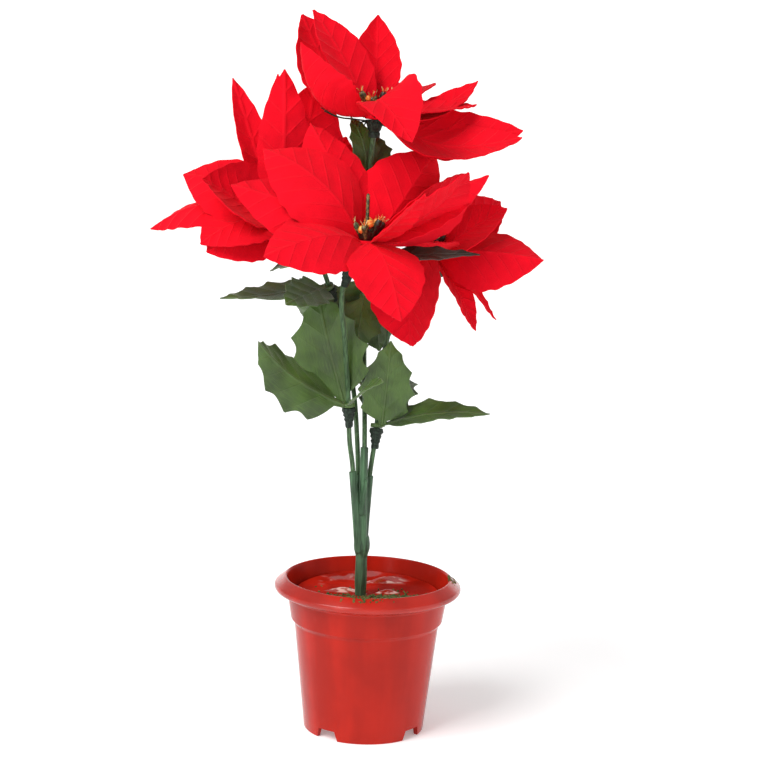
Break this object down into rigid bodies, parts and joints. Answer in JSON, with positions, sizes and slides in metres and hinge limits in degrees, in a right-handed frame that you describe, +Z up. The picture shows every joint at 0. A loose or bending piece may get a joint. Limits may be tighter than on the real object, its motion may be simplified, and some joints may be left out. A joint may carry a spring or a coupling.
{
  "type": "artificial poinsettia in pot",
  "caption": "Artificial poinsettia: red fabric blooms and toothed green leaves on branching wire stems, set in a round tapered plastic pot with a rolled rim.",
  "frame": {"origin": "bottom centre of the bounding box, on the plane of the pot's feet; the pot's own axis is a little to +X and +Y of it", "axes": "+Z up along the pot's axis and the stems, +X to the right and -Y towards the viewer as the front bloom faces"},
  "size_m": [0.2074, 0.1386, 0.3814],
  "materials": {
    "pot_plastic": "brick-red moulded plastic with a low sheen",
    "plaster": "cast plaster, rough",
    "glue": "set glue, glossy and lumpy, with crumbs of dyed moss",
    "stem_plastic": "dark green moulded plastic",
    "holder_plastic": "near-black green plastic",
    "petal_fabric": "flocked cloth with pressed veins",
    "leaf_fabric": "satin polyester cloth with fine pressed streaks",
    "heart_plastic": "dark buds with orange and yellow berries"
  },
  "bodies": {
    "root": {"pot": "pot_plastic", "plaster_block": "plaster", "glue_fill": "glue", "trunk": "stem_plastic", "stem_front": "stem_plastic", "stem_left": "stem_plastic", "stem_top": "stem_plastic", "stem_right": "stem_plastic", "petals_top": "petal_fabric", "holder_top": "holder_plastic", "heart_top": "heart_plastic", "petals_front": "petal_fabric", "holder_front": "holder_plastic", "heart_front": "heart_plastic", "petals_left": "petal_fabric", "holder_left": "holder_plastic", "heart_left": "heart_plastic", "petals_right": "petal_fabric", "holder_right": "holder_plastic", "heart_right": "heart_plastic", "leaves_low_left": "leaf_fabric", "collar_low_left": "holder_plastic", "leaves_low_right": "leaf_fabric", "collar_low_right": "holder_plastic", "leaves_upper_left": "leaf_fabric", "collar_upper_left": "holder_plastic", "leaves_under_front": "leaf_fabric", "collar_under_front": "holder_plastic", "leaves_under_top": "leaf_fabric", "collar_under_top": "holder_plastic", "leaves_middle": "leaf_fabric", "collar_middle": "holder_plastic", "leaves_under_right": "leaf_fabric", "collar_under_right": "holder_plastic"}
  },
  "joints": []
}
